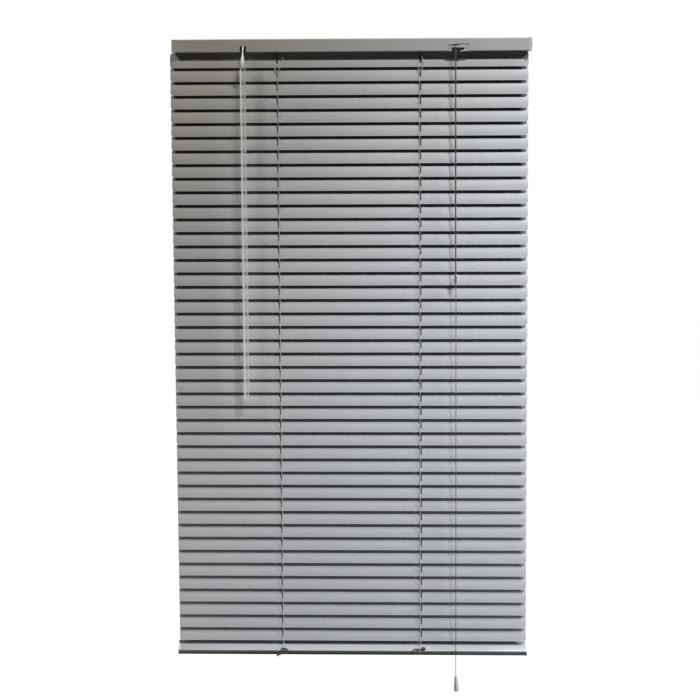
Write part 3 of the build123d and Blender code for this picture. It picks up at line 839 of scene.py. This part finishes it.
# ---------------------------------------------------------------- tilt drums
rod_y, rod_z = joints["rod_turn"]["pos_m"][1:]
wraps = []
for x in ladder_x:
    for offset in DRUM_WRAPS:
        wrap = []
        for k in range(33):
            turn = 2 * pi * k / 32
            wrap.append((x + offset, rod_y + DRUM_RADIUS * cos(turn), rod_z + DRUM_RADIUS * sin(turn)))
        wraps.append(wrap)
on(tubes("drum_cord_wraps", wraps, 0.00042, ladder_weave, 8), "tilt_rod", "cord_fibre")

# ---------------------------------------------------------------- pull cord
low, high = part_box("pull_cord")
hang_y = low.y + CORD_DIAMETER / 2
exit_y = high.y
exit_z = high.z - CORD_DIAMETER / 2
long_x = high.x - CORD_DIAMETER / 2
short_x = low.x + CORD_DIAMETER / 2
tassel_top = low.z
knot_x, knot_z = long_x - 0.0008, -0.374
knot_top, knot_bottom = -0.3665, -0.3850


def free_cord(name, points, length, **facts):
    """A hanging cord through the points, from the cord lock down; the length argument is not used."""
    curve = bpy.data.curves.new(name, "CURVE")
    curve.dimensions = "3D"
    curve.bevel_depth = CORD_DIAMETER / 2
    curve.bevel_resolution = 3
    curve.use_fill_caps = True
    spline = curve.splines.new("NURBS")
    spline.points.add(len(points) - 1)
    for target, point in zip(spline.points, points):
        target.co = (*point, 1)
    spline.order_u = 3
    spline.use_endpoint_u = True
    spline.resolution_u = 8
    curve.materials.append(cord_weave)
    obj = bpy.data.objects.new(name, curve)
    bpy.context.scene.collection.objects.link(obj)
    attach(obj, "headrail")
    return obj


long_points = [
    (long_x, exit_y, exit_z),
    (long_x, hang_y, exit_z),
    (long_x, hang_y, exit_z - 0.05),
    (long_x, hang_y, -0.5),
    (long_x, hang_y, tassel_top),
]
short_points = [
    (short_x, exit_y, exit_z),
    (short_x, hang_y, exit_z),
    (short_x, hang_y, exit_z - 0.05),
    (short_x, hang_y, -0.2),
    (knot_x, hang_y, knot_z),
]
tassel_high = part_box("tassel")[1]
tassel = lathe(
    "tassel_bell",
    [(0.0001, 0.0), (0.0012, 0.0), (0.0017, 0.0006), (0.0023, 0.0024), (0.0028, 0.0050),
     (0.0042, 0.0238), (0.0043, 0.0258), (0.0043, 0.0272), (0.0040, 0.0275), (0.0036, 0.0274),
     (0.0034, 0.0262), (0.0001, 0.0258)],
    milky,
    Matrix.Translation((long_x, hang_y, tassel_high.z - 0.0001))
    @ Matrix.Rotation(radians(-3.0), 4, "Y")
    @ Matrix.Rotation(pi, 4, "X"),
    40,
)
on(tassel, "headrail", "tassel_plastic", "tassel")
coils = []
for k in range(97):
    share = k / 96
    turn = 2 * pi * 4.5 * share
    swell = 0.0007 + 0.0011 * sin(pi * share)
    z = knot_top + (knot_bottom - knot_top) * share
    coils.append((knot_x + swell * cos(turn), hang_y + swell * sin(turn), z))
across_coil = smooth_path([
    (knot_x - 0.0016, hang_y - 0.0012, -0.3690), (knot_x + 0.0012, hang_y - 0.0020, -0.3730),
    (knot_x - 0.0014, hang_y - 0.0020, -0.3790), (knot_x + 0.0014, hang_y - 0.0012, -0.3845),
])
knot = tubes("pull_cord_knot", [coils, across_coil], 0.00062, cord_weave, 10)
stub_right = smooth_path([
    (knot_x + 0.0008, hang_y - 0.0012, -0.3695),
    (0.1705, hang_y - 0.0018, -0.3704),
    (0.1728, hang_y - 0.0014, -0.3722),
])
stub_left = smooth_path([
    (knot_x - 0.0010, hang_y - 0.0010, -0.3695),
    (0.1640, hang_y - 0.0012, -0.3703),
    (0.1634, hang_y - 0.0010, -0.3712),
])
stubs = tubes("pull_cord_knot_ends", [stub_right, stub_left], 0.0007, cut_fibre, 10)
for piece in (knot, stubs):
    on(piece, "headrail", "cord_fibre")
long_cord = free_cord("pull_cord_long", long_points, 1.0365, far_end="fitting", with_pieces=[tassel])
free_cord("pull_cord_short", short_points, 0.375, far_end="knot")
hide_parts("pull_cord")

# ---------------------------------------------------------------- stage, light and camera
world = bpy.data.worlds.new("studio")
world.use_nodes = True
world.node_tree.nodes["Background"].inputs["Color"].default_value = (1, 1, 1, 1)
world.node_tree.nodes["Background"].inputs["Strength"].default_value = 0.003
bpy.context.scene.world = world
bpy.context.scene.view_settings.view_transform = "Standard"


def stage_plane(name, centre, rotation):
    """One side of the pale room around the blind. Diffuse and glossy rays miss it, so it doesn't light it."""
    mat = bpy.data.materials.new(name + "_paint")
    mat.use_nodes = True
    shader = mat.node_tree.nodes["Principled BSDF"]
    shader.inputs["Base Color"].default_value = (0.95, 0.95, 0.95, 1)
    shader.inputs["Roughness"].default_value = 0.9
    shader.inputs["Emission Color"].default_value = (1, 1, 1, 1)
    shader.inputs["Emission Strength"].default_value = 1.0
    mat.cycles.emission_sampling = "NONE"
    half = ROOM_HALF + 0.1
    verts = [(-half, -half, 0), (half, -half, 0), (half, half, 0), (-half, half, 0)]
    plane = new_object(name, verts, [(0, 1, 2, 3)], mat, smooth=False)
    plane.matrix_world = Matrix.Translation(centre) @ rotation
    plane.visible_diffuse = False
    plane.visible_glossy = False
    return plane


ROOM_HALF, ROOM_MIDDLE, FLOOR_LEVEL = 9.0, 3.0, -1.6
upright = Matrix.Rotation(radians(90), 4, "X")
turned = Matrix.Rotation(radians(90), 4, "Y")
stage_plane("floor", (0, 0, FLOOR_LEVEL), Matrix.Identity(4))
stage_plane("ceiling", (0, 0, ROOM_HALF), Matrix.Identity(4))
stage_plane("backdrop", (0, ROOM_HALF, ROOM_MIDDLE), upright)
stage_plane("front_wall", (0, -ROOM_HALF, ROOM_MIDDLE), upright)
stage_plane("left_wall", (-ROOM_HALF, 0, ROOM_MIDDLE), turned)
stage_plane("right_wall", (ROOM_HALF, 0, ROOM_MIDDLE), turned)


def from_front(azimuth, elevation, distance, about):
    """A place around a target: azimuth 0 is in front of the blind, and positive is to the right."""
    a, e = radians(azimuth), radians(elevation)
    return Vector(about) + Vector((sin(a) * cos(e), -cos(a) * cos(e), sin(e))) * distance


def light(name, kind, place, target, power, color, **settings):
    """A lamp of Blender's kind SPOT or AREA at a place, aimed at a target."""
    lamp = bpy.data.lights.new(name, kind)
    for setting, value in settings.items():
        setattr(lamp, setting, value)
    lamp.energy = power
    lamp.color = color
    obj = bpy.data.objects.new(name, lamp)
    bpy.context.scene.collection.objects.link(obj)
    obj.location = place
    obj.rotation_mode = "QUATERNION"
    obj.rotation_quaternion = (Vector(target) - Vector(place)).to_track_quat("-Z", "Y")


def spot_light(name, azimuth, elevation, distance, target, radius, power, color, cone):
    place = from_front(azimuth, elevation, distance, target)
    light(
        name, "SPOT", place, target, power, color,
        shadow_soft_size=radius, spot_size=radians(cone), spot_blend=1.0,
    )


def strip_light(name, x, power, color):
    """A tall narrow lamp beside the blind, aimed at its lower half."""
    light(
        name, "AREA", (x, -0.32, -0.92), (0.15 if x > 0 else -0.15, 0, -0.92), power, color,
        shape="RECTANGLE", size=0.15, size_y=0.6,
    )


def disk_light(name, place, target, size, power, color):
    light(name, "AREA", place, target, power, color, shape="DISK", size=size)


spot_light("key_cool", 33, 54.8, 5.5, (0.30, 0, -0.95), 0.08, 890, (0.70, 0.84, 1.0), 22)
spot_light("key_warm", 21, 55.5, 5.5, (0.25, 0, -0.75), 0.10, 345, (1.0, 0.88, 0.68), 60)
spot_light("side", 68, 50, 2.5, (0.30, 0, -0.80), 0.25, 190, (0.98, 0.95, 1.0), 40)
strip_light("right_strip", 0.72, 1.2, (0.96, 0.99, 1.0))
strip_light("left_strip", -0.72, 0.8, (1.0, 0.98, 0.95))
disk_light("back_left", (-0.9, 1.3, -1.3), (0, 0, -0.5), 0.4, 2.0, (1.0, 1.0, 1.0))
disk_light("back_right", (0.9, 1.3, -1.3), (0, 0, -0.5), 0.4, 2.0, (1.0, 1.0, 1.0))
disk_light("left_fill", (-1.0, -0.65, 0.75), (-0.3, 0, -0.55), 0.3, 4.6, (1.0, 0.96, 0.90))

camera_data = bpy.data.cameras.new("camera")
camera_data.lens = 110.8
camera_data.sensor_width = 36.0
camera = bpy.data.objects.new("camera", camera_data)
bpy.context.scene.collection.objects.link(camera)
camera.matrix_world = (
    Matrix.Translation((0.1367, -3.5, -0.018))
    @ Matrix.Rotation(radians(2.333), 4, "Z")
    @ Matrix.Rotation(radians(90 - 7.758), 4, "X")
    @ Matrix.Rotation(radians(-0.363), 4, "Z")
)
camera_data.clip_start = 0.1
camera_data.clip_end = 100
bpy.context.scene.camera = camera
